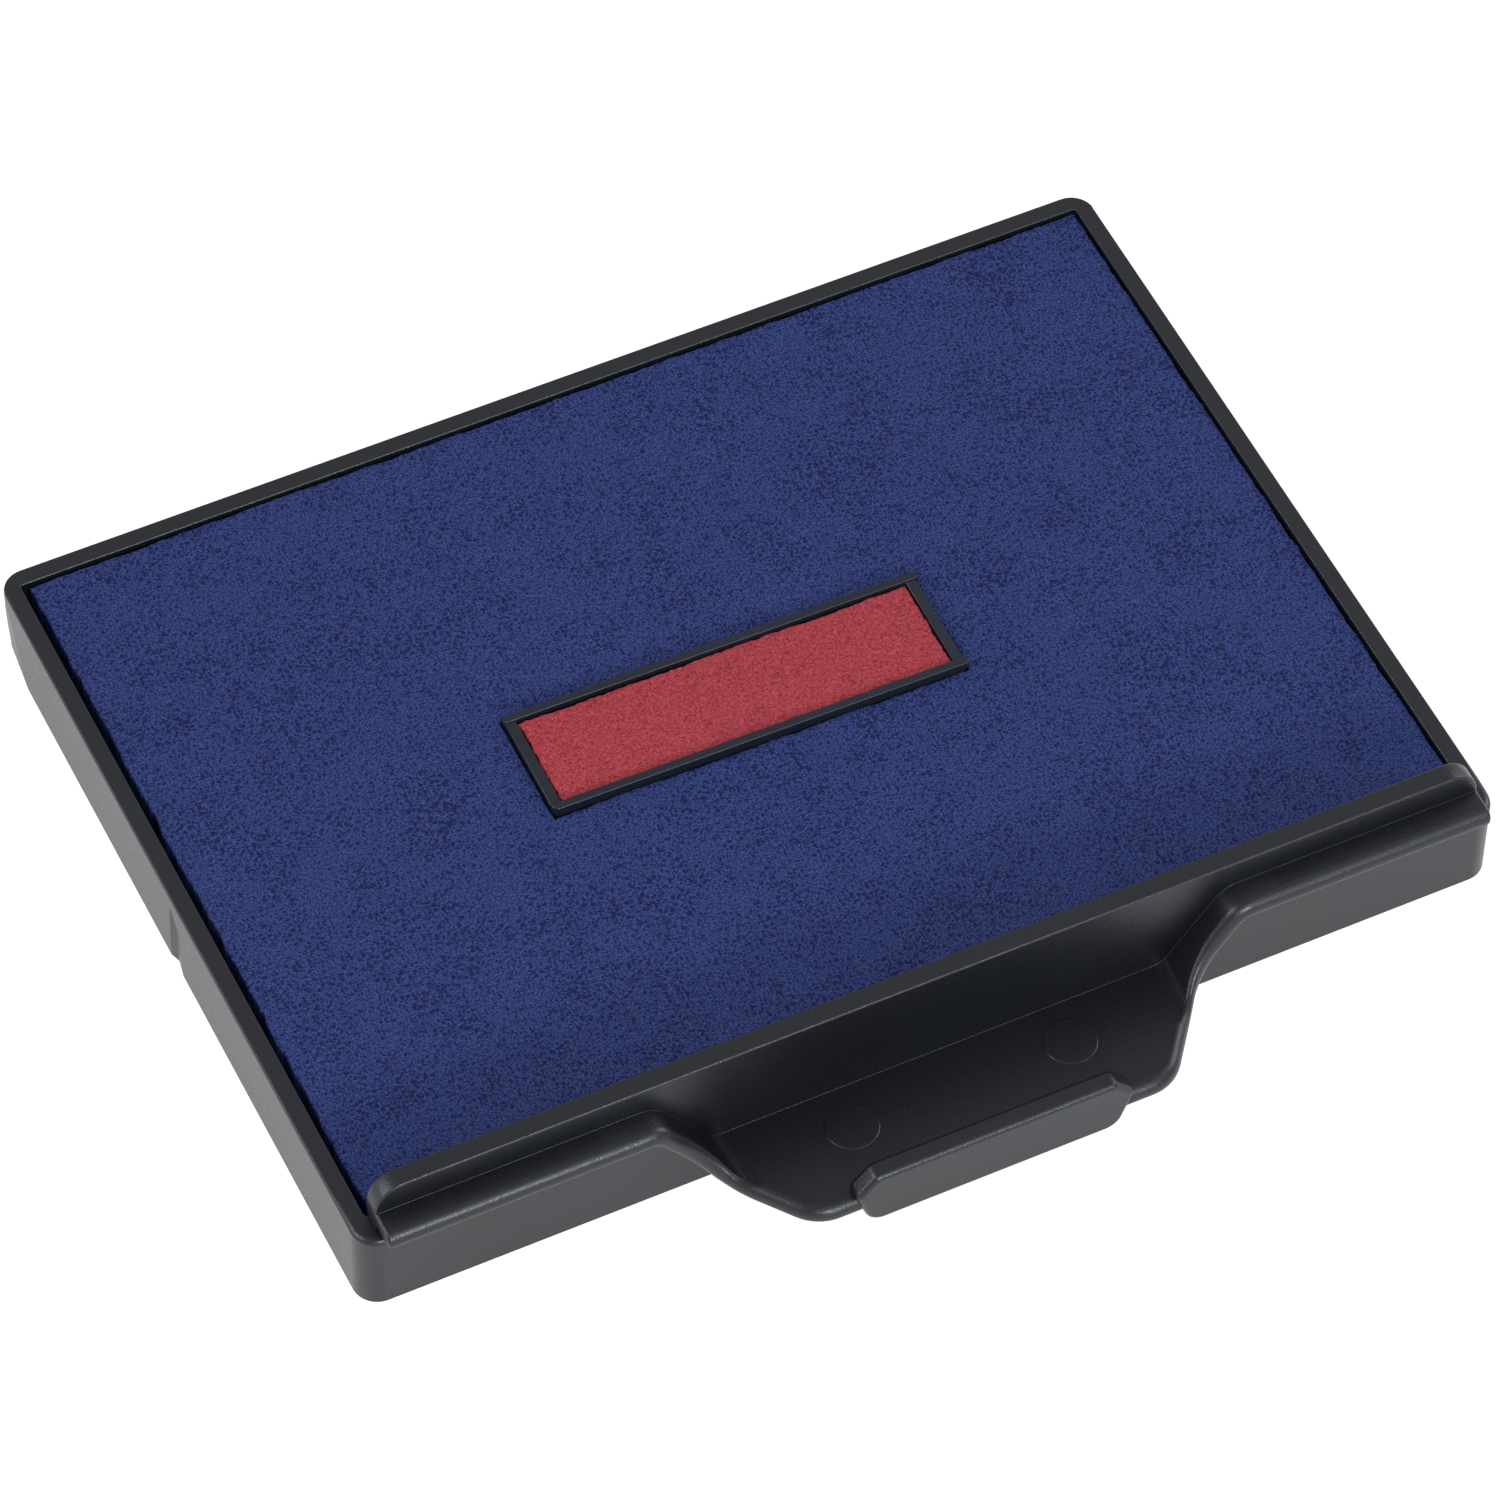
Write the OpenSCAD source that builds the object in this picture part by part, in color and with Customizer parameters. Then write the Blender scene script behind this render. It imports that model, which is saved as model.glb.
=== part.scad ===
// Two-colour ink pad cartridge for a large self-inking date stamp.
// A shallow tray holds a wide text pad, and a small cup in the middle holds the date pad.
// The whole cartridge slides into the stamp towards +Y and is pulled out by the front grip.
// Origin: middle of the tray's underside. +X right, +Y back, +Z up.

/* [Tray] */
// Width of the tray, side to side
tray_w = 80; // [66:1:110]
// Depth of the tray, front wall to back wall, without the grip
tray_d = 58.7; // [46:0.1:80]
// Height of the tray, from its underside to its rim
tray_h = 6.65; // [5.9:0.05:8]
// Thickness of the side walls and of the back wall
rim_t = 1.25; // [1:0.05:1.8]
// Thickness of the front wall, which carries the grip
front_t = 2.3; // [2.1:0.1:3]
// Radius of the tray's upright outer corners
corner_r = 1.7; // [1:0.1:3]
// Thickness of the floor
floor_t = 1.4; // [1.2:0.1:1.8]
// Depth of the pockets moulded into the underside
pocket_depth = 0.4; // [0.2:0.1:0.6]

/* [Grip] */
// Length of the ridge and ledge along the front wall
grip_w = 77.2; // [60:0.1:78]
// Height of the ridge above the rim
ridge_rise = 3.9; // [3:0.1:5]
// Height of the ledge's top above the rim
ledge_rise = 1.75; // [1.4:0.05:2.2]
// How far the ledge stands out in front of the front wall
ledge_reach = 1.2; // [0.5:0.1:1.5]
// How far the ridge's front face lies behind the front wall's outer face
web_set = 0.9; // [0.7:0.1:1]
// Thickness of the ledge and of the finger tab
band_t = 1.2; // [1:0.1:1.4]
// Depth of the tab's top below the rim
tab_drop = 3.9; // [3:0.1:4]
// How far the finger tab reaches in front of the front wall
tab_reach = 7.45; // [5.5:0.05:10]
// Half width of the tab's flat floor, where it meets the web
foot_half = 15.8; // [13:0.1:20]
// Height of the pull lip above the tab
lip_rise = 2; // [1.6:0.1:2.4]

/* [Pads] */
// Depth of the text pad's surface below the rim
blue_drop = 0.35; // [0.2:0.05:1]
// Thickness of the text pad's printing foam
blue_foam_t = 2.7; // [2:0.1:3]
// Play between the text pad and the walls
pad_play = 0.3; // [0.1:0.1:0.6]
// Outer length of the date cup
cup_w = 29.4; // [20:0.1:40]
// Outer width of the date cup
cup_d = 8.4; // [6.5:0.1:12]
// How far the date cup lies in front of the well's middle
cup_forward = 0.35; // [0:0.05:3]
// Height of the date cup's edge above the rim
cup_rise = 0.3; // [0:0.1:0.8]
// Depth of the date pad's surface below the cup's edge
red_drop = 0.3; // [0.2:0.05:0.8]
// Thickness of the date pad's printing foam
red_foam_t = 2.2; // [1.5:0.1:2.4]

/* [Hidden] */
$fn = 48;

cut = 1;            // how far a cutter runs past the face it opens
arc_steps = 6;      // straight steps in each rounded corner of a profile

plastic = "#3b3c3f";
cup_plastic = "#30363b";
blue_ink = "#2d3570";
red_ink = "#af4146";
blue_soaked = "#232a5c";
red_soaked = "#8c3238";

front_y = -tray_d / 2;
back_y = tray_d / 2;

// Well inside the tray
well_front_y = front_y + front_t;
well_w = tray_w - 2 * rim_t;
well_d = back_y - rim_t - well_front_y;
well_y = well_front_y + well_d / 2;

// Underside
foot_band = 3;
rib_w = 5;
centre_rib = 14;
pocket_r = 1.5;
pocket_w = (tray_w - 2 * foot_band - rib_w) / 2;
pocket_d = (tray_d - 2 * foot_band - centre_rib) / 2;

// Detent in each side wall, which a spring finger in the stamp drops into
detent_depth = 0.25;
detent_back_y = 0.85;
detent_deep_y = 0.2;
detent_front_y = -1.05;
detent_top = tray_h - 1.05;
detent_slant = 35;

// Lead-in facets at the back corners
lead_in_y = back_y - 4.6;
lead_in_turn = 6.2;
lead_in_lean = 3.2;

// Grip: heights
tab_z = tray_h - tab_drop;
ledge_z = tray_h + ledge_rise;
ridge_z = tray_h + ridge_rise;
ridge_corner_r = 2.1;

// Grip: faces across Y
web_y = front_y + web_set;
rebate_y = front_y + 1.6;
ledge_y = front_y - ledge_reach;
tab_y = front_y - tab_reach;
lip_t = 1.4;
lip_y = tab_y - 0.2;

// Grip: line of the ledge as it dips down to the tab, seen from the front
grip_half = grip_w / 2;
shoulder_half = foot_half + 4.2;
slope = atan2(ledge_z - tab_z, shoulder_half - foot_half);
band_shift = band_t * tan(slope / 2);
foot_r = 1.1;
shoulder_r = 2;

// Grip: plan outline of the tab
tab_half = foot_half - 3.2;
tab_flare = 0.77;
tab_root_half = tab_half + tab_flare * (tab_reach - ledge_reach);
tab_corner_r = 3.2;
tab_root_r = 3;

// Grip: end outline of the pull lip
lip_bottom = 0.1;
lip_bottom_half = foot_half - 7.1;
lip_mid_half = foot_half - 6;
lip_mid_z = tab_z + 0.5;
lip_top_half = foot_half - 7.4;

// Grip: tongues that press into the front wall
tongue_from = 24;
tongue_len = 10;
tongue_t = 0.8;
tongue_depth = 2.6;
tongue_fit = 0.03;
seat_y = front_y + 0.35;

// Ejector marks, raised a little above the tab
mark_r = 1.75;
mark_rise = 0.05;
mark_half = foot_half - 8.1;
mark_y = front_y - 2.1;

// Pads and cup
blue_z = tray_h - blue_drop;
blue_felt_z = blue_z - blue_foam_t;
window_play = 0.1;
cup_long_t = 0.6;
cup_end_t = 0.75;
cup_floor_t = 0.7;
cup_z = tray_h + cup_rise;
cup_floor_z = floor_t + cup_floor_t;
cup_in_w = cup_w - 2 * cup_end_t;
cup_in_d = cup_d - 2 * cup_long_t;
red_z = cup_z - red_drop;
red_felt_z = red_z - red_foam_t;
red_play = 0.08;
cup_y = well_y - cup_forward;
peg_r = 1.2;
peg_hole_r = 1.24;
peg_spread = cup_w / 3;
peg_end_z = 0.2;

function unit(v) = v / norm(v);

function reversed(path) = [for (i = [len(path) - 1 : -1 : 0]) path[i]];

// Arc of radius r in the corner b of the path a, b, c
function corner_arc(a, b, c, r) =
    let (
        u = unit(a - b),
        w = unit(c - b),
        half = acos(u * w) / 2,
        centre = b + unit(u + w) * r / sin(half),
        from = b + u * r / tan(half) - centre,
        to = b + w * r / tan(half) - centre,
        start = atan2(from[1], from[0]),
        turn = atan2(cross(from, to), from * to)
    )
    [for (i = [0 : arc_steps])
        centre + r * [cos(start + turn * i / arc_steps), sin(start + turn * i / arc_steps)]];

// Open path with its inner corners rounded, one radius for each point
function rounded(points, radii) =
    let (last = len(points) - 1)
    [for (i = [0 : last])
        each (i == 0 || i == last || radii[i] == 0)
            ? [points[i]]
            : corner_arc(points[i - 1], points[i], points[i + 1], radii[i])];

// Path from x = 0 outwards, joined to its mirror image
function both_sides(path) =
    concat([for (p = reversed(path)) if (p[0] > 0) [-p[0], p[1]]], path);

// Half of the ledge line, moved out and down for the underside
function ledge_line(out, down, low_r, high_r) =
    rounded(
        [[0, tab_z - down], [foot_half + out, tab_z - down],
         [shoulder_half + out, ledge_z - down], [grip_half, ledge_z - down]],
        [0, low_r, high_r, 0]);

ledge_top = both_sides(ledge_line(0, 0, foot_r, shoulder_r));
ledge_under = both_sides(ledge_line(band_shift, band_t, foot_r + band_t, shoulder_r - band_t));

// Extrudes a front-view outline from y_low to y_high
module along_y(y_low, y_high) {
    translate([0, y_high, 0])
        rotate([90, 0, 0])
            linear_extrude(y_high - y_low)
                children();
}

module round_rect(w, d, r) {
    square([w - 2 * r, d], center = true);
    square([w, d - 2 * r], center = true);
    for (x = [-1, 1], y = [-1, 1])
        translate([x * (w / 2 - r), y * (d / 2 - r)])
            circle(r);
}

module both_mirrored() {
    children();
    mirror([1, 0, 0]) children();
}

// Everything above the ledge's underside, up to a height
module above_ledge_under(top) {
    polygon(concat(ledge_under, [[grip_half, top], [-grip_half, top]]));
}

// Cutter for one side's detent: steep at the back, a long ramp at the front, slanted top
module side_detent() {
    intersection() {
        translate([0, 0, -cut])
            linear_extrude(detent_top + cut)
                polygon([[tray_w / 2 + cut, detent_back_y], [tray_w / 2, detent_back_y],
                         [tray_w / 2 - detent_depth, detent_deep_y],
                         [tray_w / 2, detent_front_y], [tray_w / 2 + cut, detent_front_y]]);
        translate([0, detent_back_y, detent_top])
            rotate([detent_slant, 0, 0])
                translate([0, -tray_h * 2, -tray_h * 2])
                    cube([tray_w, tray_h * 4, tray_h * 2]);
    }
}

// Cutter for one back corner's lead-in facet
module lead_in() {
    translate([tray_w / 2, lead_in_y, 0])
        rotate([0, lead_in_lean, lead_in_turn])
            translate([0, 0, -tray_h])
                cube([tray_h, tray_h * 2, tray_h * 3]);
}

module tongue(play) {
    both_mirrored()
        translate([tongue_from - play, (seat_y + well_front_y - tongue_t) / 2 - play,
                   tray_h - tongue_depth - play])
            cube([tongue_len + 2 * play, tongue_t + 2 * play, tongue_depth + ledge_rise]);
}

module cup_pegs(r, bottom, top) {
    for (x = [-1, 1])
        translate([x * peg_spread, cup_y, bottom])
            cylinder(r = r, h = top - bottom);
}

// Tray: floor, four walls, and the seats for the grip and the cup
module tray() {
    color(plastic)
    difference() {
        linear_extrude(tray_h)
            round_rect(tray_w, tray_d, corner_r);
        translate([-well_w / 2, well_front_y, floor_t])
            cube([well_w, well_d, tray_h]);
        along_y(front_y - cut, rebate_y)
            above_ledge_under(tray_h + ledge_rise + cut);
        tongue(tongue_fit);
        both_mirrored() {
            side_detent();
            lead_in();
        }
        for (x = [-1, 1], y = [-1, 1])
            translate([x * (pocket_w + rib_w) / 2, y * (pocket_d + centre_rib) / 2, -cut])
                linear_extrude(pocket_depth + cut)
                    round_rect(pocket_w, pocket_d, pocket_r);
        cup_pegs(peg_hole_r, -cut, floor_t + cut);
    }
}

// Outline of the whole grip seen from above, from the tab's edge back to the rebate
module grip_plan() {
    front_edge = both_sides(rounded(
        [[0, tab_y], [tab_half, tab_y], [tab_root_half, ledge_y], [grip_half, ledge_y]],
        [0, tab_corner_r, tab_root_r, 0]));
    polygon(concat(front_edge, [[grip_half, rebate_y], [-grip_half, rebate_y]]));
}

module grip_band() {
    intersection() {
        along_y(lip_y - cut, rebate_y)
            polygon(concat(ledge_top, reversed(ledge_under)));
        linear_extrude(ridge_z)
            grip_plan();
    }
}

// Upright web in the rebate, and the ridge on top of it
module grip_ridge() {
    along_y(web_y, rebate_y)
        above_ledge_under(tray_h + band_t);
    along_y(web_y, well_front_y)
        polygon(both_sides(rounded(
            [[0, ridge_z], [grip_half, ridge_z], [grip_half, tray_h], [0, tray_h]],
            [0, ridge_corner_r, 0, 0])));
}

// Blocks under the ledge's ends that sit on the rim
module grip_seats() {
    both_mirrored()
        translate([shoulder_half + band_shift, seat_y, tray_h])
            cube([grip_half - shoulder_half - band_shift, web_y - seat_y + tongue_t / 2, ledge_rise / 2]);
}

module pull_lip() {
    along_y(lip_y, lip_y + lip_t)
        polygon(both_sides(rounded(
            [[0, lip_bottom], [lip_bottom_half, lip_bottom], [lip_mid_half, lip_mid_z],
             [lip_top_half, tab_z + lip_rise], [0, tab_z + lip_rise]],
            [0, 1.3, 0.6, 0.6, 0])));
}

module ejector_marks() {
    for (x = [-1, 1])
        translate([x * mark_half, mark_y, tab_z - band_t / 2])
            cylinder(r = mark_r, h = band_t / 2 + mark_rise);
}

module front_grip() {
    color(plastic) {
        grip_band();
        grip_ridge();
        grip_seats();
        pull_lip();
        ejector_marks();
        tongue(0);
    }
}

// Slab that fills the well, with a window round the date cup
module well_slab(bottom, top) {
    difference() {
        translate([-well_w / 2 + pad_play, well_front_y + pad_play, bottom])
            cube([well_w - 2 * pad_play, well_d - 2 * pad_play, top - bottom]);
        translate([-cup_w / 2 - window_play, cup_y - cup_d / 2 - window_play, bottom - cut])
            cube([cup_w + 2 * window_play, cup_d + 2 * window_play, top - bottom + 2 * cut]);
    }
}

// Printing foam of the text pad
module blue_pad() {
    color(blue_ink)
        well_slab(blue_felt_z, blue_z);
}

// Ink-soaked felt under the text pad
module blue_felt() {
    color(blue_soaked)
        well_slab(floor_t, blue_felt_z);
}

// Cup that keeps the date pad's ink apart, with two pegs through the tray's floor
module date_cup() {
    color(cup_plastic) {
        difference() {
            translate([-cup_w / 2, cup_y - cup_d / 2, floor_t])
                cube([cup_w, cup_d, cup_z - floor_t]);
            translate([-cup_in_w / 2, cup_y - cup_in_d / 2, cup_floor_z])
                cube([cup_in_w, cup_in_d, cup_z]);
        }
        cup_pegs(peg_r, peg_end_z, floor_t + cup_floor_t / 2);
    }
}

module cup_slab(bottom, top) {
    translate([-cup_in_w / 2 + red_play, cup_y - cup_in_d / 2 + red_play, bottom])
        cube([cup_in_w - 2 * red_play, cup_in_d - 2 * red_play, top - bottom]);
}

// Printing foam of the date pad
module red_pad() {
    color(red_ink)
        cup_slab(red_felt_z, red_z);
}

// Ink-soaked felt under the date pad
module red_felt() {
    color(red_soaked)
        cup_slab(cup_floor_z, red_felt_z);
}

tray();
front_grip();
blue_pad();
blue_felt();
date_cup();
red_pad();
red_felt();
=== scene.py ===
"""Looks of the two-colour ink pad cartridge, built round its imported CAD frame."""
import math

import bmesh
import bpy
import numpy as np
from mathutils import Matrix, Vector


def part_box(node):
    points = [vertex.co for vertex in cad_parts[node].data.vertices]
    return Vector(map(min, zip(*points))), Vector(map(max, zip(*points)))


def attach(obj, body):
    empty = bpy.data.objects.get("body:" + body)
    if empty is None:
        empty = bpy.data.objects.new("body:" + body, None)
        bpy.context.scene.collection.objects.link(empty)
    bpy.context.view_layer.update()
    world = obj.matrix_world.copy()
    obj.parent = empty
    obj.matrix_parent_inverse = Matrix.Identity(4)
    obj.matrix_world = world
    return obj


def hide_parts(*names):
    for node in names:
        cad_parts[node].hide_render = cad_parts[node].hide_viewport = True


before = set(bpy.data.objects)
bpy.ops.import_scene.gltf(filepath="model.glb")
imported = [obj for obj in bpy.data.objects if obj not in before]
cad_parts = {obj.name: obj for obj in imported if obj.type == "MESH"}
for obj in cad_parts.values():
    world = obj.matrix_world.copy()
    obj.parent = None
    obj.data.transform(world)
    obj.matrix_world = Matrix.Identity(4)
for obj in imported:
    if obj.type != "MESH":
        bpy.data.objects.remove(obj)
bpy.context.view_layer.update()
MM = 0.001
BODY = "root"


def box_mm(node):
    """Lowest and highest corner of a CAD node, in millimetres."""
    return [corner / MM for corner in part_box(node)]


tray_lo, tray_hi = box_mm("tray")


# ---------------------------------------------------------------- camera, floor, light

def make_camera():
    """Long lens from the front left, high up, a little rolled."""
    azimuth, elevation, roll = (math.radians(a) for a in (-26.6, 52.2, 1.1))
    distance = 0.5142
    aim_x, aim_y = -0.0015, -0.0045
    top_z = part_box("tray")[1].z
    target = Vector((aim_x, aim_y, top_z))
    back = Vector((math.sin(azimuth) * math.cos(elevation),
                   -math.cos(azimuth) * math.cos(elevation), math.sin(elevation)))
    turn = back.to_track_quat("Z", "Y").to_matrix() @ Matrix.Rotation(roll, 3, "Z")
    data = bpy.data.cameras.new("camera")
    data.sensor_width = 36
    data.lens = 191.5
    data.clip_end = 10
    camera = bpy.data.objects.new("camera", data)
    camera.matrix_world = Matrix.Translation(target + back * distance) @ turn.to_4x4()
    bpy.context.scene.collection.objects.link(camera)
    bpy.context.scene.camera = camera


def connect(node, inputs):
    """Gives each of a node's inputs, by name or number, a value or the output socket that feeds it."""
    for key, value in inputs.items():
        if isinstance(value, bpy.types.NodeSocket):
            node.id_data.links.new(value, node.inputs[key])
        else:
            node.inputs[key].default_value = value


def add_node(tree, kind, inputs):
    node = tree.nodes.new(kind)
    connect(node, inputs)
    return node


def new_material(name):
    """A new material and its Principled shader."""
    material = bpy.data.materials.new(name)
    material.use_nodes = True
    return material, material.node_tree.nodes["Principled BSDF"]


def make_floor():
    """Pale floor just under the object. It glows, so that it stays evenly white."""
    half, gap = 3.0, 0.00002
    grey, glow = 0.36, 0.82
    mesh = bpy.data.meshes.new("floor")
    mesh.from_pydata([(-half, -half, 0), (half, -half, 0), (half, half, 0), (-half, half, 0)], [],
                     [(0, 1, 2, 3)])
    floor = bpy.data.objects.new("floor", mesh)
    floor.location.z = -gap
    bpy.context.scene.collection.objects.link(floor)
    material, shader = new_material("floor")
    connect(shader, {"Base Color": (grey, grey, grey, 1), "Roughness": 0.9, "Specular IOR Level": 0.1,
                     "Emission Color": (1, 1, 1, 1), "Emission Strength": glow})
    mesh.materials.append(material)


def make_world():
    """Even white light from all round."""
    world = bpy.data.worlds.new("studio")
    bpy.context.scene.world = world
    world.use_nodes = True
    connect(world.node_tree.nodes["Background"], {"Color": (1, 1, 1, 1), "Strength": 0.66})


def make_softbox(name, place, size, power):
    """A soft rectangular lamp that points at the object's origin."""
    lamp = bpy.data.lights.new(name, "AREA")
    lamp.shape = "RECTANGLE"
    lamp.size, lamp.size_y = size
    lamp.energy = power
    box = bpy.data.objects.new(name, lamp)
    box.location = place
    box.rotation_euler = (-Vector(place)).to_track_quat("-Z", "Y").to_euler()
    bpy.context.scene.collection.objects.link(box)


# ---------------------------------------------------------------- outlines and solids

def unit(v):
    return v / np.linalg.norm(v)


def corner_arc(a, b, c, radius, steps):
    """Points of the arc that rounds the corner b of the path a, b, c."""
    u, w = unit(a - b), unit(c - b)
    half = math.acos(float(np.clip(u @ w, -1, 1))) / 2
    centre = b + unit(u + w) * radius / math.sin(half)
    first = b + u * radius / math.tan(half) - centre
    last = b + w * radius / math.tan(half) - centre
    start = math.atan2(first[1], first[0])
    turn = math.atan2(first[0] * last[1] - first[1] * last[0], first @ last)
    angles = start + turn * np.linspace(0, 1, steps + 1)
    return [centre + radius * np.array((math.cos(t), math.sin(t))) for t in angles]


def rounded(points, radii, steps=8):
    """Open path with its inner corners rounded, one radius for each point."""
    points = [np.array(p, float) for p in points]
    path = []
    for i, (point, radius) in enumerate(zip(points, radii)):
        if radius and 0 < i < len(points) - 1:
            path += corner_arc(points[i - 1], point, points[i + 1], radius, steps)
        else:
            path.append(point)
    return np.array(path)


def both_sides(path):
    """Path from x = 0 outwards, joined to its mirror image."""
    other = path[::-1] * (-1, 1)
    return np.concatenate([other[other[:, 0] < -1e-9], path])


def inset(outline, distance):
    """Closed counter-clockwise outline, moved inwards."""
    before = outline - np.roll(outline, 1, 0)
    after = np.roll(outline, -1, 0) - outline
    normals = []
    for edge in (before, after):
        length = np.linalg.norm(edge, axis=1, keepdims=True)
        normals.append(np.stack([-edge[:, 1], edge[:, 0]], 1) / length)
    share = 1 + (normals[0] * normals[1]).sum(1, keepdims=True)
    return outline + distance * (normals[0] + normals[1]) / share


def new_piece(name, mesh):
    piece = bpy.data.objects.new(name, mesh)
    bpy.context.scene.collection.objects.link(piece)
    return piece


def face_outwards(mesh):
    """Turns the mesh's faces so that they all look out."""
    bm = bmesh.new()
    bm.from_mesh(mesh)
    bmesh.ops.recalc_face_normals(bm, faces=bm.faces)
    bm.to_mesh(mesh)
    bm.free()


def loft(name, rings):
    """Closed solid through rings that all have the same number of points, in millimetres."""
    count = len(rings[0])
    verts = np.concatenate(rings) * MM
    faces = [tuple(range(count))]
    for r in range(len(rings) - 1):
        for i in range(count):
            j = (i + 1) % count
            faces.append((r * count + i, (r + 1) * count + i, (r + 1) * count + j, r * count + j))
    faces.append(tuple(range((len(rings) - 1) * count, len(rings) * count)))
    mesh = bpy.data.meshes.new(name)
    mesh.from_pydata(verts.tolist(), [], faces)
    face_outwards(mesh)
    return new_piece(name, mesh)


def rim_steps(radius, steps=5):
    """(distance in from the end, inset) along a rounded edge, from the end face outwards."""
    if radius == 0:
        return [(0, 0)]
    angles = np.linspace(math.pi / 2, 0, steps + 1)
    return [(radius * (1 - math.sin(a)), radius * (1 - math.cos(a))) for a in angles]


def slab(name, outline, axis, low, high, low_r=0, high_r=0):
    """Outline in the other two axes, drawn out along y (axis 1) or z (axis 2), its end edges rounded."""
    following = np.roll(outline, -1, 0)
    if (outline[:, 0] * following[:, 1] - following[:, 0] * outline[:, 1]).sum() < 0:
        outline = outline[::-1]
    stations = [(low + d, shrink) for d, shrink in rim_steps(low_r)]
    stations += [(high - d, shrink) for d, shrink in reversed(rim_steps(high_r))]
    rings = [np.insert(inset(outline, shrink), axis, place, axis=1) for place, shrink in stations]
    return loft(name, rings)


def rectangle(x0, x1, y0, y1, radii=(), steps=4):
    """Counter-clockwise from the front left corner, each corner with its own radius."""
    points = [np.array(c, float) for c in ((x0, y0), (x1, y0), (x1, y1), (x0, y1))]
    if not radii:
        return np.array(points)
    path = []
    for i, radius in enumerate(radii):
        path += corner_arc(points[i - 1], points[i], points[(i + 1) % 4], radius, steps)
    return np.array(path)


def circle(radius, count):
    turn = np.linspace(0, 2 * math.pi, count, endpoint=False)
    return np.stack([np.cos(turn), np.sin(turn)], 1) * radius


def combine(name, base, others):
    """One solid from several: the others are joined to the base."""
    for other in others:
        step = base.modifiers.new("step", "BOOLEAN")
        step.operation = "UNION"
        step.solver = "EXACT"
        step.object = other
    bpy.context.view_layer.update()
    graph = bpy.context.evaluated_depsgraph_get()
    mesh = bpy.data.meshes.new_from_object(base.evaluated_get(graph))
    mesh.name = name
    for used in [base] + list(others):
        bpy.data.objects.remove(used)
    return new_piece(name, mesh)


def smooth(piece, angle=26):
    """Smooth shading that keeps edges sharper than the angle, and flat faces flat."""
    mesh = piece.data
    bm = bmesh.new()
    bm.from_mesh(mesh)
    bmesh.ops.remove_doubles(bm, verts=bm.verts, dist=1e-7)
    bm.to_mesh(mesh)
    bm.free()
    for polygon in mesh.polygons:
        polygon.use_smooth = True
    mesh.set_sharp_from_angle(angle=math.radians(angle))
    normal = piece.modifiers.new("normals", "WEIGHTED_NORMAL")
    normal.keep_sharp = True


def welded_copy(node, name):
    """A new object with the CAD node's shape, its flat faces whole again."""
    mesh = bpy.data.meshes.new(name)
    bm = bmesh.new()
    bm.from_mesh(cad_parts[node].data)
    bm.transform(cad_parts[node].matrix_world)
    bmesh.ops.remove_doubles(bm, verts=bm.verts, dist=1e-6)
    bmesh.ops.dissolve_limit(bm, angle_limit=math.radians(0.5), verts=bm.verts, edges=bm.edges)
    bmesh.ops.recalc_face_normals(bm, faces=bm.faces)
    bm.to_mesh(mesh)
    bm.free()
    return new_piece(name, mesh)


def soften(piece, width, wide, ratio, segments=4, angle=30):
    """Rounds the piece's sharp edges; those that wide picks get a radius that is ratio times larger."""
    mesh = piece.data
    for polygon in mesh.polygons:
        polygon.use_smooth = True
    bm = bmesh.new()
    bm.from_mesh(mesh)
    weight = bm.edges.layers.float.new("bevel_weight_edge")
    for edge in bm.edges:
        if len(edge.link_faces) == 2 and edge.calc_face_angle() > math.radians(angle):
            edge[weight] = 1 if all(wide(v.co / MM) for v in edge.verts) else 1 / ratio
    bm.to_mesh(mesh)
    bm.free()
    bevel = piece.modifiers.new("bevel", "BEVEL")
    bevel.width = width * ratio
    bevel.segments = segments
    bevel.limit_method = "WEIGHT"
    bevel.use_clamp_overlap = False
    bevel.miter_outer = "MITER_ARC"
    normal = piece.modifiers.new("normals", "WEIGHTED_NORMAL")
    normal.keep_sharp = True


def make_tray():
    """Tray with softened edges, its front wall's top edge rounder than the others."""
    edge_r, front_ratio = 0.16, 2.8
    front_depth = 0.3
    corner_width, corner_depth = 1.8, 1.75

    def front_top(place):
        near_front = place.y < tray_lo.y + front_depth
        in_corner = place.y < tray_lo.y + corner_depth and abs(place.x) > tray_hi.x - corner_width
        return abs(place.z - tray_hi.z) < 0.01 and (near_front or in_corner)

    tray = welded_copy("tray", "tray_shell")
    soften(tray, edge_r * MM, front_top, front_ratio)
    return tray


# ---------------------------------------------------------------- front grip, in millimetres

grip_lo, grip_hi = box_mm("front_grip")
rim_z, front_y = tray_hi.z, tray_lo.y
end_x, ridge_z = grip_hi.x, grip_hi.z
ledge_z, tab_z = rim_z + 1.75, rim_z - 3.9
ledge_y, tab_y = front_y - 1.2, front_y - 7.45
web_y, rebate_y = front_y + 0.9, front_y + 1.6
band_t = 1.2
foot_x, shoulder_x = 15.8, 20.0         # where the band starts to rise from the tab, and is level again
foot_r, shoulder_r = 1.2, 2.1
tab_x = 12.6                            # half the tab's width at its free edge
root_x = tab_x + 0.77 * (ledge_y - tab_y)
tab_r, root_r = 3.2, 3.0
tab_side, lip_side, mark_side = 0.3, 0.1, 0.37      # how far each lies to the right of the middle


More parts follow.
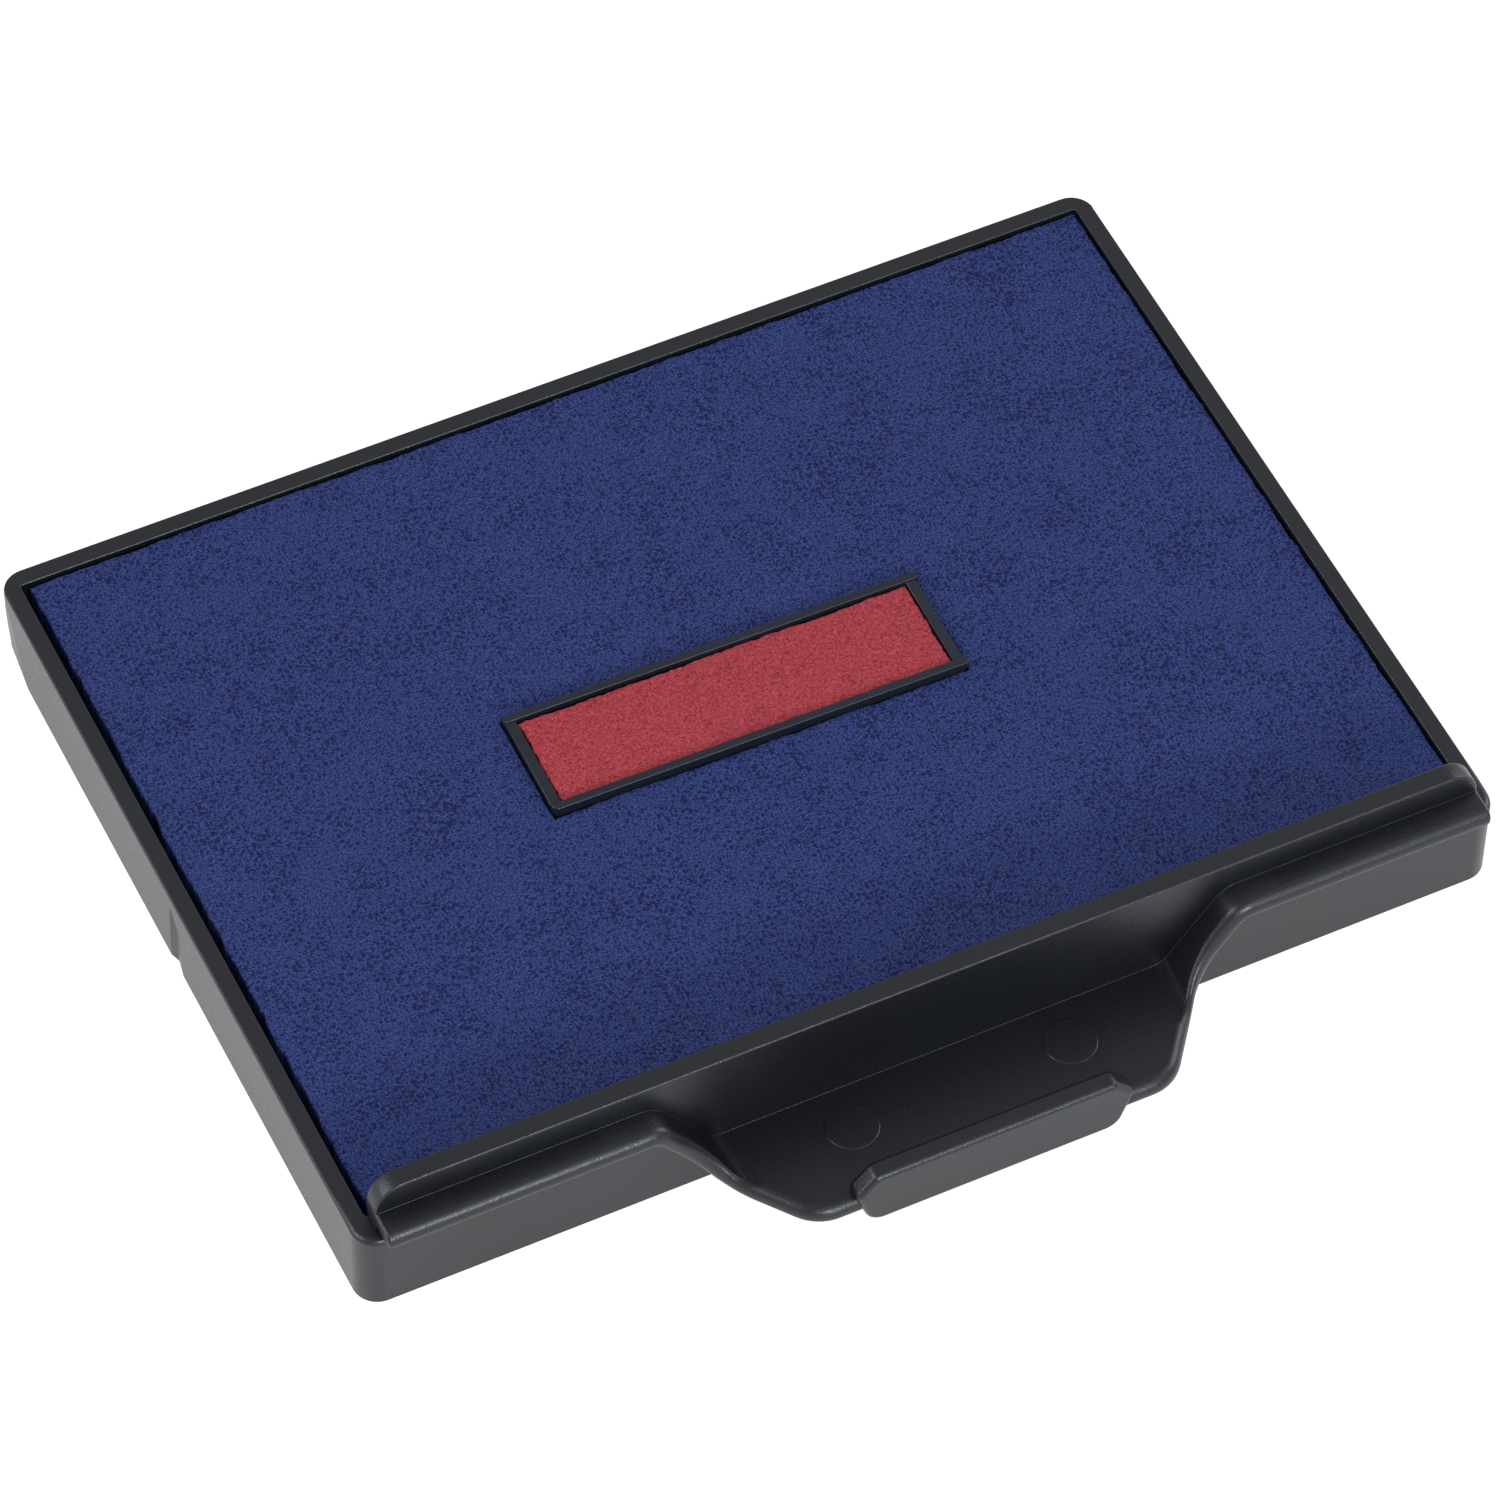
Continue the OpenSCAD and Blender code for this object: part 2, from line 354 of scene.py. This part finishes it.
def band_half(shift):
    """The ledge's line seen from the front, and the band's cross-sections along it, from x = 0 outwards.

    shift is how far this half of the dipping tab reaches further out.
    """
    line = rounded([(0, tab_z), (foot_x + shift, tab_z), (shoulder_x + shift, ledge_z), (end_x, ledge_z)],
                   (0, foot_r, shoulder_r, 0), steps=10)
    plan = rounded([(0, tab_y), (tab_x + shift, tab_y), (root_x + shift, ledge_y), (end_x, ledge_y)],
                   (0, tab_r, root_r, 0), steps=14)
    top_edge_r, low_edge_r, end_r = 0.75, 0.32, 0.25
    crease_r = 0.035                    # of the fillet between the ledge and the web
    closest = 0.05                      # least distance between two cross-sections
    length = np.concatenate([[0], np.cumsum(np.linalg.norm(np.diff(line, axis=0), axis=1))])
    bending, straight = np.arange(8.5, 24, 0.3), (4, 28, 33)        # x of further cross-sections
    extra = np.interp(np.concatenate([bending, straight]), line[:, 0], length)
    wanted = np.unique(np.round(np.concatenate([length, extra]), 4))
    wanted = wanted[np.concatenate([[True], np.diff(wanted) > closest])]

    def at(s):
        """Point of the band's front top edge, so far along its line."""
        x = np.interp(s, length, line[:, 0])
        return np.array((x, np.interp(x, plan[:, 0], plan[:, 1]), np.interp(s, length, line[:, 1])))

    def ring(s, shrink, x_end=None):
        """Cross-section of the band, so far along its line, or drawn to x_end where that is given."""
        step = 0.12
        edge = at(s)
        along = at(min(s + step, length[-1])) - at(max(s - step, 0))
        flat = along * (1, 0, 1)
        tangent = unit(flat)
        up = np.array((-tangent[2], 0, tangent[0]))
        inward = unit(np.array((0, 1, 0)) - along[1] / np.linalg.norm(flat) * tangent)
        if s < 1e-6:                    # the middle, where the two halves meet
            inward = np.array((0.0, 1.0, 0.0))
            up = np.array((0.0, 0.0, 1.0))
        if x_end is not None:
            edge[0] = x_end
        top_r, low_r = top_edge_r - shrink, low_edge_r - shrink * 0.5
        edge = edge - up * shrink
        thick = band_t - 2 * shrink

        def place(down, depth):
            """Point that lies so far below the band's top, and so far in from the plan's edge."""
            point = edge - up * down
            if x_end is None:
                point[1] = np.interp(point[0], plan[:, 0], plan[:, 1])
            return point + inward * (depth + shrink)

        back = np.array((edge[0], rebate_y, edge[2]))
        points = [back - up * thick]
        for a in np.linspace(math.pi / 2, 0, 5):
            points.append(place(thick - low_r * (1 - math.sin(a)), low_r * (1 - math.cos(a))))
        for a in np.linspace(0, math.pi / 2, 8):
            points.append(place(top_r * (1 - math.sin(a)), top_r * (1 - math.cos(a))))
        centre = np.array((edge[0], web_y - crease_r, edge[2])) + up * crease_r
        for a in np.linspace(0, math.pi / 2, 7):
            points.append(centre + crease_r * (np.array((0, math.sin(a), 0)) - up * math.cos(a)))
        points.append(back + up * crease_r)
        return np.array(points)

    rings = [ring(s, 0) for s in wanted if at(s)[0] < end_x - end_r - closest]
    for distance, shrink in reversed(rim_steps(end_r)):
        rings.append(ring(length[-1], shrink, end_x - distance))
    return line, rings


def ridge_and_web(left_line, right_line):
    """Web that follows the band's line, with the ridge above it. Seen from the front they are one face."""
    join_x = shoulder_x + 1.6
    low_z = rim_z + 0.02
    end_r, front_r, back_r = 2.1, 0.16, 0.2
    ridge_end = corner_arc(np.array((end_x, low_z)), np.array((end_x, ridge_z)),
                           np.array((0, ridge_z)), end_r, 10)
    sides = []
    for line in (left_line, right_line):
        middle = line - (0, band_t / 2)
        sides.append(np.concatenate([middle[middle[:, 0] < join_x],
                                     [(join_x, low_z), (end_x, low_z)], ridge_end]))
    outline = np.concatenate([sides[1], sides[0][:0:-1] * (-1, 1)])
    ridge = both_sides(np.concatenate([[(0, low_z), (end_x, low_z)], ridge_end]))
    return [slab("web", outline, 1, web_y, rebate_y, front_r),
            slab("ridge", ridge, 1, rebate_y, grip_hi.y, 0, back_r)]


def pull_lip():
    """Lip across the tab's free edge, widest a little above the tab."""
    foot_half, wide_half, top_half = 8.7, 9.8, 8.4
    low_z, wide_z, top_z = 0.1, tab_z + 0.5, tab_z + 2.0
    low_r, side_r, front_r, back_r = 1.3, 0.6, 0.4, 0.3
    lip_t = 1.4
    side = rounded([(0, low_z), (foot_half, low_z), (wide_half, wide_z), (top_half, top_z), (0, top_z)],
                   (0, low_r, side_r, side_r, 0))
    return slab("lip", both_sides(side) + (lip_side, 0), 1, grip_lo.y, grip_lo.y + lip_t, front_r, back_r)


def ledge_seats():
    """Blocks between the tray's rim and the ends of the ledge."""
    inner_x, outer_x = 22.2, end_x - 0.15
    seat_y, seat_back_y = front_y + 0.35, web_y + 0.4
    seat_h = 0.9
    seats = []
    for side in (-1, 1):
        x0, x1 = sorted((side * inner_x, side * outer_x))
        seats.append(slab("seat", rectangle(x0, x1, seat_y, seat_back_y), 2, rim_z, rim_z + seat_h))
    return seats


def ejector_marks():
    """Two low round marks on the tab."""
    mark_x, mark_y = 7.7, front_y - 2.1
    profile = ((1.78, -0.5), (1.78, 0.0), (1.74, 0.035), (1.69, 0.05))      # radius, height over the tab
    marks = []
    for side in (-1, 1):
        centre = (side * mark_x + mark_side, mark_y)
        marks.append(loft("mark", [np.insert(circle(radius, 64) + centre, 2, tab_z + height, axis=1)
                                   for radius, height in profile]))
    return marks


def make_grip():
    """Ridge, ledge, dipping finger tab and pull lip as one soft-edged moulding."""
    right_line, right = band_half(tab_side)
    left_line, left = band_half(-tab_side)
    band = loft("band", [ring * (-1, 1, 1) for ring in left[:0:-1]] + right)
    others = ridge_and_web(left_line, right_line) + [pull_lip()] + ledge_seats() + ejector_marks()
    grip = combine("grip_moulding", band, others)
    smooth(grip)
    return grip


# ---------------------------------------------------------------- date cup, in millimetres

cup_lo, cup_hi = box_mm("date_cup")


def cup_askew(x, y):
    """How far a point that belongs to the cup moves, as the cup sits slightly turned in its well."""
    turn, aside = math.radians(-0.9), -0.3
    x, y = x - (cup_lo.x + cup_hi.x) / 2, y - (cup_lo.y + cup_hi.y) / 2
    return (x * (math.cos(turn) - 1) - y * math.sin(turn) + aside,
            x * math.sin(turn) + y * (math.cos(turn) - 1))


def turned(outline):
    return outline + np.stack(cup_askew(outline[:, 0], outline[:, 1]), 1)


def cup_window():
    """The opening that the cup needs in a foam or felt: its ends in x, and in y."""
    play = 0.09
    return (cup_lo.x - play, cup_hi.x + play), (cup_lo.y - play, cup_hi.y + play)


def make_cup():
    """Cup with flat-topped walls, its two long walls a little taller and longer than the ends."""
    floor_z, inner_z = tray_lo.z + 1.4, tray_lo.z + 2.1
    end_z = cup_hi.z - 0.14
    long_t, end_t = 0.6, 0.75
    edge_r = 0.12
    outer_r, front_left_r, inner_r = 0.3, 0.58, 0.08
    ear_z, ear_r = tray_hi.z - 0.28, 0.14
    peg_r, peg_x = 1.2, (cup_hi.x - cup_lo.x) / 3
    peg_top, peg_edge_r = floor_z + 0.35, 0.15

    # share is 0 at the walls' outer faces and 1 at their inner ones
    profile = [(0, floor_z), (0, end_z - edge_r)]
    profile += [(shrink / end_t, end_z - d) for d, shrink in reversed(rim_steps(edge_r, 3))]
    profile += [(1 - shrink / end_t, end_z - d) for d, shrink in rim_steps(edge_r, 3)]
    profile += [(1, inner_z)]
    rings = []
    for share, z in profile:
        corner_r = outer_r + (inner_r - outer_r) * share
        first_r = front_left_r + (inner_r - front_left_r) * share
        flat = rectangle(cup_lo.x + share * end_t, cup_hi.x - share * end_t,
                         cup_lo.y + share * long_t, cup_hi.y - share * long_t,
                         (first_r, corner_r, corner_r, corner_r))
        rings.append(np.insert(turned(flat), 2, z, axis=1))
    cup = loft("cup", rings)

    # tops of the long walls, with ears: front face, reach past the left and right end, front left radius
    others = []
    for y0, left, right, first_r in ((cup_lo.y, 0.01, 0.16, 0.44), (cup_hi.y - long_t, 0.05, 0.22, 0.14)):
        wall = rectangle(cup_lo.x - left, cup_hi.x + right, y0, y0 + long_t, (first_r, ear_r, ear_r, ear_r))
        others.append(slab("wall", turned(wall), 2, ear_z, cup_hi.z, 0, edge_r))
    for side in (-1, 1):
        peg = circle(peg_r, 32) + (side * peg_x, (cup_lo.y + cup_hi.y) / 2)
        others.append(slab("peg", peg, 2, cup_lo.z, peg_top, peg_edge_r))
    cup = combine("cup_moulding", cup, others)
    smooth(cup)
    return cup


# ---------------------------------------------------------------- foam and felt, in millimetres

def lattice(x, y, cell, rng):
    """Smooth random field from -1 to 1, with features about one cell wide."""
    u, v = (x - x.min()) / cell, (y - y.min()) / cell
    grid = rng.uniform(-1, 1, (int(v.max()) + 3, int(u.max()) + 3))
    i, j = u.astype(int), v.astype(int)
    fu, fv = u - i, v - j
    fu, fv = fu * fu * (3 - 2 * fu), fv * fv * (3 - 2 * fv)
    low = grid[j, i] * (1 - fu) + grid[j, i + 1] * fu
    high = grid[j + 1, i] * (1 - fu) + grid[j + 1, i + 1] * fu
    return low * (1 - fv) + high * fv


def grid_lines(stops, cell, edge):
    """Grid lines from the first stop to the last, closer together on both sides of each stop."""
    near = np.array((0, 0.12, 0.35, 0.65, 1)) * edge
    lines = []
    for low, high in zip(stops, stops[1:]):
        count = max(int((high - low - 2 * edge) / cell), 1)
        lines += [low + near, np.linspace(low + edge, high - edge, count + 1), high - near]
    return np.unique(np.round(np.concatenate(lines), 5))


def pit_field(xs, ys, spots, sizes):
    """How deep each grid point lies in a pit, from 0 to 1."""
    x, y = np.meshgrid(xs, ys)
    pit = np.zeros(x.shape)
    for (px, py), size in zip(spots, sizes):
        i0, i1 = np.searchsorted(xs, (px - 2 * size, px + 2 * size))
        j0, j1 = np.searchsorted(ys, (py - 2 * size, py + 2 * size))
        gap = (x[j0:j1, i0:i1] - px) ** 2 + (y[j0:j1, i0:i1] - py) ** 2
        pit[j0:j1, i0:i1] = np.maximum(pit[j0:j1, i0:i1], np.exp(-gap / size ** 2))
    return pit


def walk(*corners):
    """Places (row, column) on a grid, along its lines from corner to corner."""
    places = []
    for (j0, i0), (j1, i1) in zip(corners, corners[1:]):
        steps = max(abs(j1 - j0), abs(i1 - i0))
        places += [(j0 + (j1 - j0) * k // steps, i0 + (i1 - i0) * k // steps) for k in range(steps)]
    return places + [corners[-1]]


def slab_mesh(name, top, pit, low_z, hole):
    """Closed mesh: the grid of top points, walls down to low_z round it and its hole, and a flat bottom.

    hole is the numbers of the grid lines at its left, right, front and back, or an empty list.
    Each top point keeps its pit value.
    """
    rows, columns = top.shape[:2]
    last_j, last_i = rows - 1, columns - 1
    kept = np.ones((rows, columns), bool)
    cells = np.ones((last_j, last_i), bool)
    loops = [walk((0, 0), (0, last_i), (last_j, last_i), (last_j, 0), (0, 0))[:-1]]
    bottoms = [loops[0][::-1]]
    if hole:
        left, right, front, back = hole
        kept[front + 1:back, left + 1:right] = False
        cells[front:back, left:right] = False
        a, b, c, d = (front, left), (back, left), (back, right), (front, right)
        loops.append(walk(a, b, c, d, a)[:-1])
        # the bottom is four faces round the hole: front, back, left and right
        bottoms = [walk((front, 0), (0, 0), (0, last_i), (front, last_i)) + walk(d, a),
                   walk((back, last_i), (last_j, last_i), (last_j, 0), (back, 0)) + walk(b, c),
                   walk((back, 0), (front, 0)) + walk(a, b),
                   walk((front, last_i), (back, last_i)) + walk(c, d)]
    count = int(kept.sum())
    numbers = np.full((rows, columns), -1)
    numbers[kept] = np.arange(count)
    j, i = np.nonzero(cells)
    corners = [numbers[j, i], numbers[j, i + 1], numbers[j + 1, i + 1], numbers[j + 1, i]]
    faces = np.stack(corners, 1).tolist()
    under = {}
    for loop in loops:
        for place in loop:
            under[place] = count + len(under)
        for place, following in zip(loop, loop[1:] + loop[:1]):
            faces.append((numbers[place], under[place], under[following], numbers[following]))
    faces += [[under[place] for place in ring] for ring in bottoms]
    verts = np.concatenate([top[kept], [(*top[place][:2], low_z) for place in under]])

    mesh = bpy.data.meshes.new(name)
    mesh.from_pydata((verts * MM).tolist(), [], faces)
    values = np.zeros(len(verts), np.float32)
    values[:count] = pit[kept]
    mesh.attributes.new("pit", "FLOAT", "POINT").data.foreach_set("value", values)
    face_outwards(mesh)
    for polygon in mesh.polygons:
        polygon.use_smooth = True
    mesh.set_sharp_from_angle(angle=math.radians(60))
    return mesh


def soft_slab(name, low, high, seed, cell, edge, relief, ragged, pits, window=None, warp=None):
    """Closed slab of foam or felt: a rough top, soft ragged edges, an optional window.

    relief is a list of (cell, height), ragged a list of (cell, reach), pits (number, radius, depth).
    A window, and what lies near it, follows the cup. warp(x, y) gives a further move of each point.
    """
    ragged_depth, follow_reach = 0.35, 3
    roundness = 0.98
    rng = np.random.default_rng(seed)
    (x0, y0, z0), (x1, y1, z1) = low, high
    window_x, window_y = window or ((), ())
    xs = grid_lines([x0, *window_x, x1], cell, edge)
    ys = grid_lines([y0, *window_y, y1], cell, edge)
    x, y = np.meshgrid(xs, ys)
    reach = np.minimum(np.minimum(x - x0, x1 - x), np.minimum(y - y0, y1 - y))
    if window:
        beside = np.maximum(np.maximum(window_x[0] - x, x - window_x[1]), 0)
        before = np.maximum(np.maximum(window_y[0] - y, y - window_y[1]), 0)
        away = np.hypot(beside, before)
        reach = np.minimum(reach, away)
    inwards = np.clip(1 - reach / edge, 0, 1)
    z = z1 - edge * (1 - np.sqrt(1 - inwards ** 2 * roundness))
    for size, height in relief:
        z = z + lattice(x, y, size, rng) * height
    count, radius, depth = pits
    spots = np.stack([rng.uniform(x0, x1, count), rng.uniform(y0, y1, count)], 1)
    pit = pit_field(xs, ys, spots, radius * rng.uniform(0.6, 1.5, count))
    z = z - pit * depth

    fade = np.exp(-reach / ragged_depth)
    shift_x, shift_y = np.zeros(x.shape), np.zeros(x.shape)
    for size, amount in ragged:
        shift_x += lattice(x, y, size, rng) * amount * fade
        shift_y += lattice(x, y, size, rng) * amount * fade
    if window:
        turn_x, turn_y = cup_askew(x, y)
        follow = np.exp(-(away / follow_reach) ** 2)
        shift_x, shift_y = shift_x + turn_x * follow, shift_y + turn_y * follow
    if warp:
        warp_x, warp_y = warp(x, y)
        shift_x, shift_y = shift_x + warp_x, shift_y + warp_y
    top = np.stack([x + shift_x, y + shift_y, z], 2)
    hole = [int(np.argmin(abs(xs - edge_x))) for edge_x in window_x]
    hole += [int(np.argmin(abs(ys - edge_y))) for edge_y in window_y]
    return new_piece(name, slab_mesh(name, top, pit, z0, hole))


def make_blue_foam():
    """The large blue foam, which lies a little to the right of the middle of its well."""
    lo, hi = box_mm("blue_pad")
    low = (lo.x + 0.22, lo.y - 0.1, lo.z)
    high = (hi.x + 0.16, hi.y + 0.2, hi.z)

    def short_corner(x, y):
        """The back left corner is cut a little short, so the gap widens towards it."""
        u, v = (x - low[0]) / (high[0] - low[0]), (y - low[1]) / (high[1] - low[1])
        return np.exp(-u * 30) * 0.1 * np.exp((v - 1) * 9), np.zeros(x.shape)

    return soft_slab("blue_foam", low, high, seed=11, cell=0.235, edge=0.12,
                     relief=[(9, 0.03), (1.6, 0.014), (0.5, 0.012)], ragged=[(1.4, 0.07), (0.4, 0.05)],
                     pits=(420, 0.13, 0.06), window=cup_window(), warp=short_corner)


def make_red_foam():
    """The small red foam in the cup."""
    lo, hi = box_mm("red_pad")

    def hand_cut(x, y):
        """The back edge is cut by hand: short on the left, with a step near the middle."""
        u, v = (x - lo.x) / (hi.x - lo.x), (y - lo.y) / (hi.y - lo.y)
        step = 1 / (1 + np.exp((u - 0.44) * 90))
        dip = 0.10 * step + 0.08 * np.exp(-((u - 0.82) / 0.12) ** 2)
        turn_x, turn_y = cup_askew(x, y)
        return turn_x, turn_y - dip * np.clip((v - 0.8) * 5, 0, 1)

    return soft_slab("red_foam", lo, hi, seed=23, cell=0.13, edge=0.12,
                     relief=[(2.5, 0.03), (0.6, 0.016), (0.28, 0.022)], ragged=[(0.9, 0.05), (0.3, 0.08)],
                     pits=(60, 0.09, 0.06), warp=hand_cut)


def make_felt(name, node, seed, window=None, warp=None):
    """Felt under a foam, its top just clear of the foam's underside."""
    lo, hi = box_mm(node)
    clear = 0.03
    return soft_slab(name, lo, (hi.x, hi.y, hi.z - clear), seed, cell=0.9, edge=0.25,
                     relief=[(3, 0.012), (1.2, 0.012)], ragged=[(1.2, 0.05)],
                     pits=(10, 0.3, 0.02), window=window, warp=warp)


# ---------------------------------------------------------------- materials

def noise(tree, place, scale, detail=2, swirl=0):
    node = add_node(tree, "ShaderNodeTexNoise",
                    {"Vector": place, "Scale": scale, "Detail": detail, "Distortion": swirl})
    return node.outputs["Fac"]


def colour_ramp(tree, value, stops):
    """Colour for a value; stops are (position, colour)."""
    node = add_node(tree, "ShaderNodeValToRGB", {"Fac": value})
    elements = node.color_ramp.elements
    elements.remove(elements[1])
    for position, colour in stops:
        elements.new(position).color = (*colour, 1)
    elements.remove(elements[0])
    return node.outputs["Color"]


def map_range(tree, value, low, high, new_low=0, new_high=1):
    node = add_node(tree, "ShaderNodeMapRange", {"Value": value, "From Min": low, "From Max": high,
                                                 "To Min": new_low, "To Max": new_high})
    return node.outputs["Result"]


def math_node(tree, operation, *values, clamp=False):
    node = tree.nodes.new("ShaderNodeMath")
    node.operation = operation
    node.use_clamp = clamp
    connect(node, dict(enumerate(values)))
    return node.outputs[0]


def vector_math(tree, operation, inputs):
    node = tree.nodes.new("ShaderNodeVectorMath")
    node.operation = operation
    connect(node, inputs)
    return node.outputs[0]


def mix_colours(tree, share, first, second):
    node = tree.nodes.new("ShaderNodeMix")
    node.data_type = "RGBA"
    connect(node, {"Factor": share, "A": first, "B": second})
    return node.outputs["Result"]


def bump(tree, height, depth):
    node = add_node(tree, "ShaderNodeBump", {"Height": height, "Strength": 1, "Distance": depth * MM})
    return node.outputs["Normal"]


def plastic(name, colour, roughness, grain_size, grain_depth, shine):
    """Moulded plastic with a fine spark-eroded grain, its size and depth in millimetres."""
    material, shader = new_material(name)
    tree = material.node_tree
    place = tree.nodes.new("ShaderNodeTexCoord").outputs["Object"]
    tone = noise(tree, place, 60, 4)
    grain = noise(tree, place, 1 / (grain_size * MM), 3)
    darker, lighter = [c * 0.8 for c in colour], [c * 1.25 for c in colour]
    connect(shader, {
        "Base Color": colour_ramp(tree, tone, ((0.3, darker), (0.7, lighter))),
        "Roughness": map_range(tree, grain, 0.3, 0.7, roughness - 0.05, roughness + 0.05),
        "Normal": bump(tree, grain, grain_depth)})
    connect(shader, {"IOR": 1.5, "Specular IOR Level": shine, "Specular Tint": (0.91, 0.95, 1, 1)})
    return material


def open_cells(tree, place, cell, pit_share):
    """Pits of a foam, from 0 to 1: open cells of two sizes, thicker in some places, and the mesh's own."""
    wobble_size, wobble_reach = 0.35 * MM, 0.25 * MM
    steepness = 9.0
    wobble = noise(tree, place, 1 / wobble_size).node.outputs["Color"]
    bent = vector_math(tree, "MULTIPLY_ADD", {0: wobble, 1: (wobble_reach,) * 3, 2: place})
    crowd = noise(tree, place, 260)
    mesh_pits = tree.nodes.new("ShaderNodeAttribute")
    mesh_pits.attribute_name = "pit"
    pit = mesh_pits.outputs["Fac"]
    for size in (cell, cell * 1.6):
        cells = tree.nodes.new("ShaderNodeTexVoronoi")
        cells.voronoi_dimensions = "2D"
        connect(cells, {"Scale": 1 / (size * MM), "Vector": bent})
        random = add_node(tree, "ShaderNodeSeparateColor", {"Color": cells.outputs["Color"]}).outputs[0]
        chance = math_node(tree, "ADD", random, crowd)
        radius = math_node(tree, "MULTIPLY_ADD", chance, 0.45, pit_share - 0.65)
        depth = math_node(tree, "SUBTRACT", radius, cells.outputs["Distance"])
        mask = math_node(tree, "MULTIPLY", depth, steepness, clamp=True)
        pit = math_node(tree, "MAXIMUM", mask, pit)
    return pit


def foam(name, stops, pit_shade_colour, fleck_colour, cell, pit_share, grain_size, depth, shade=0.6, swirl=0):
    """Fine-celled printing foam, soaked with ink: clouded colour, fine grain, and open cells as pits
    darkened with painted shade.

    stops are (position, colour) of the clouds, shade darkens them between the flecks, and swirl bends
    the grain. cell, grain_size and depth are in millimetres.
    """
    material, shader = new_material(name)
    tree = material.node_tree
    place = tree.nodes.new("ShaderNodeTexCoord").outputs["Object"]
    clouds = colour_ramp(tree, noise(tree, place, 300, 5), stops)
    grain = noise(tree, place, 1 / (grain_size * MM), 2, swirl)
    between = vector_math(tree, "SCALE", {0: clouds, "Scale": shade})
    grainy = mix_colours(tree, map_range(tree, grain, 0.32, 0.68), between, (*fleck_colour, 1))
    pit = open_cells(tree, place, cell, pit_share)
    # painted shade: the pits are darkened towards the pit shade colour, standing in for the shade inside
    # the open cells
    pit_shaded = mix_colours(tree, math_node(tree, "MULTIPLY", pit, 0.85), grainy, (*pit_shade_colour, 1))
    height = math_node(tree, "SUBTRACT", grain, pit)
    connect(shader, {"Base Color": pit_shaded, "Normal": bump(tree, height, depth)})
    connect(shader, {"Roughness": 0.8, "Specular IOR Level": 0.12})
    return material


def make_materials():
    """The material of each slot. The tray and the grip share one."""
    black = plastic("black_plastic", (0.0024, 0.0032, 0.0052), roughness=0.36,
                    grain_size=0.13, grain_depth=0.018, shine=0.48)
    slate = plastic("slate_plastic", (0.0075, 0.0095, 0.016), roughness=0.33,
                    grain_size=0.16, grain_depth=0.006, shine=0.33)
    blue = foam("blue_foam", pit_shade_colour=(0.003, 0.005, 0.040), fleck_colour=(0.030, 0.050, 0.178),
                stops=((0.34, (0.020, 0.023, 0.116)), (0.5, (0.018, 0.025, 0.113)),
                       (0.66, (0.016, 0.029, 0.116))),
                cell=0.25, pit_share=0.37, grain_size=0.15, depth=0.03, shade=0.34)
    red = foam("red_foam", pit_shade_colour=(0.13, 0.013, 0.020), fleck_colour=(0.34, 0.046, 0.060),
               stops=((0.34, (0.245, 0.025, 0.037)), (0.5, (0.253, 0.027, 0.040)),
                      (0.66, (0.261, 0.030, 0.043))),
               cell=0.3, pit_share=0.16, grain_size=0.17, depth=0.05, shade=0.56, swirl=0.8)
    felt = {"cell": 0.8, "pit_share": 0.1, "grain_size": 0.15, "depth": 0.08}
    blue_felt = foam("blue_felt", pit_shade_colour=(0.003, 0.004, 0.03), fleck_colour=(0.02, 0.03, 0.15),
                     stops=((0.35, (0.012, 0.016, 0.09)), (0.65, (0.02, 0.03, 0.13))), **felt)
    red_felt = foam("red_felt", pit_shade_colour=(0.1, 0.01, 0.015), fleck_colour=(0.32, 0.035, 0.045),
                    stops=((0.35, (0.2, 0.02, 0.03)), (0.65, (0.3, 0.03, 0.04))), **felt)
    return {"tray_plastic": black, "grip_plastic": black, "cup_plastic": slate,
            "blue_foam": blue, "red_foam": red, "blue_felt": blue_felt, "red_felt": red_felt}


# ---------------------------------------------------------------- the scene

make_camera()
make_floor()
make_world()
make_softbox("front_low_box", place=(0.0, -0.55, 0.25), size=(0.22, 0.10), power=2.4)
make_softbox("front_high_box", place=(0.24, -0.50, 0.50), size=(0.45, 0.35), power=0.8)
make_softbox("left_box", place=(-0.50, 0.08, 0.32), size=(0.45, 0.32), power=2.3)
make_softbox("right_box", place=(0.50, 0.04, 0.31), size=(0.30, 0.30), power=1.3)
bpy.context.scene.view_settings.view_transform = "Standard"

materials = make_materials()
for piece, slot_name, node, fill in (
        (make_tray(), "tray_plastic", "tray", None),
        (make_grip(), "grip_plastic", "front_grip", None),
        (make_cup(), "cup_plastic", "date_cup", None),
        (make_blue_foam(), "blue_foam", "blue_pad", 0.9),
        (make_red_foam(), "red_foam", "red_pad", 0.9),
        (make_felt("blue_felt_sheet", "blue_felt", 31, window=cup_window()), "blue_felt", "blue_felt", 1.0),
        (make_felt("red_felt_sheet", "red_felt", 37, warp=cup_askew), "red_felt", "red_felt", 1.0)):
    piece.data.materials.clear()
    piece.data.materials.append(materials[slot_name])
    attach(piece, BODY)
    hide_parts(node)
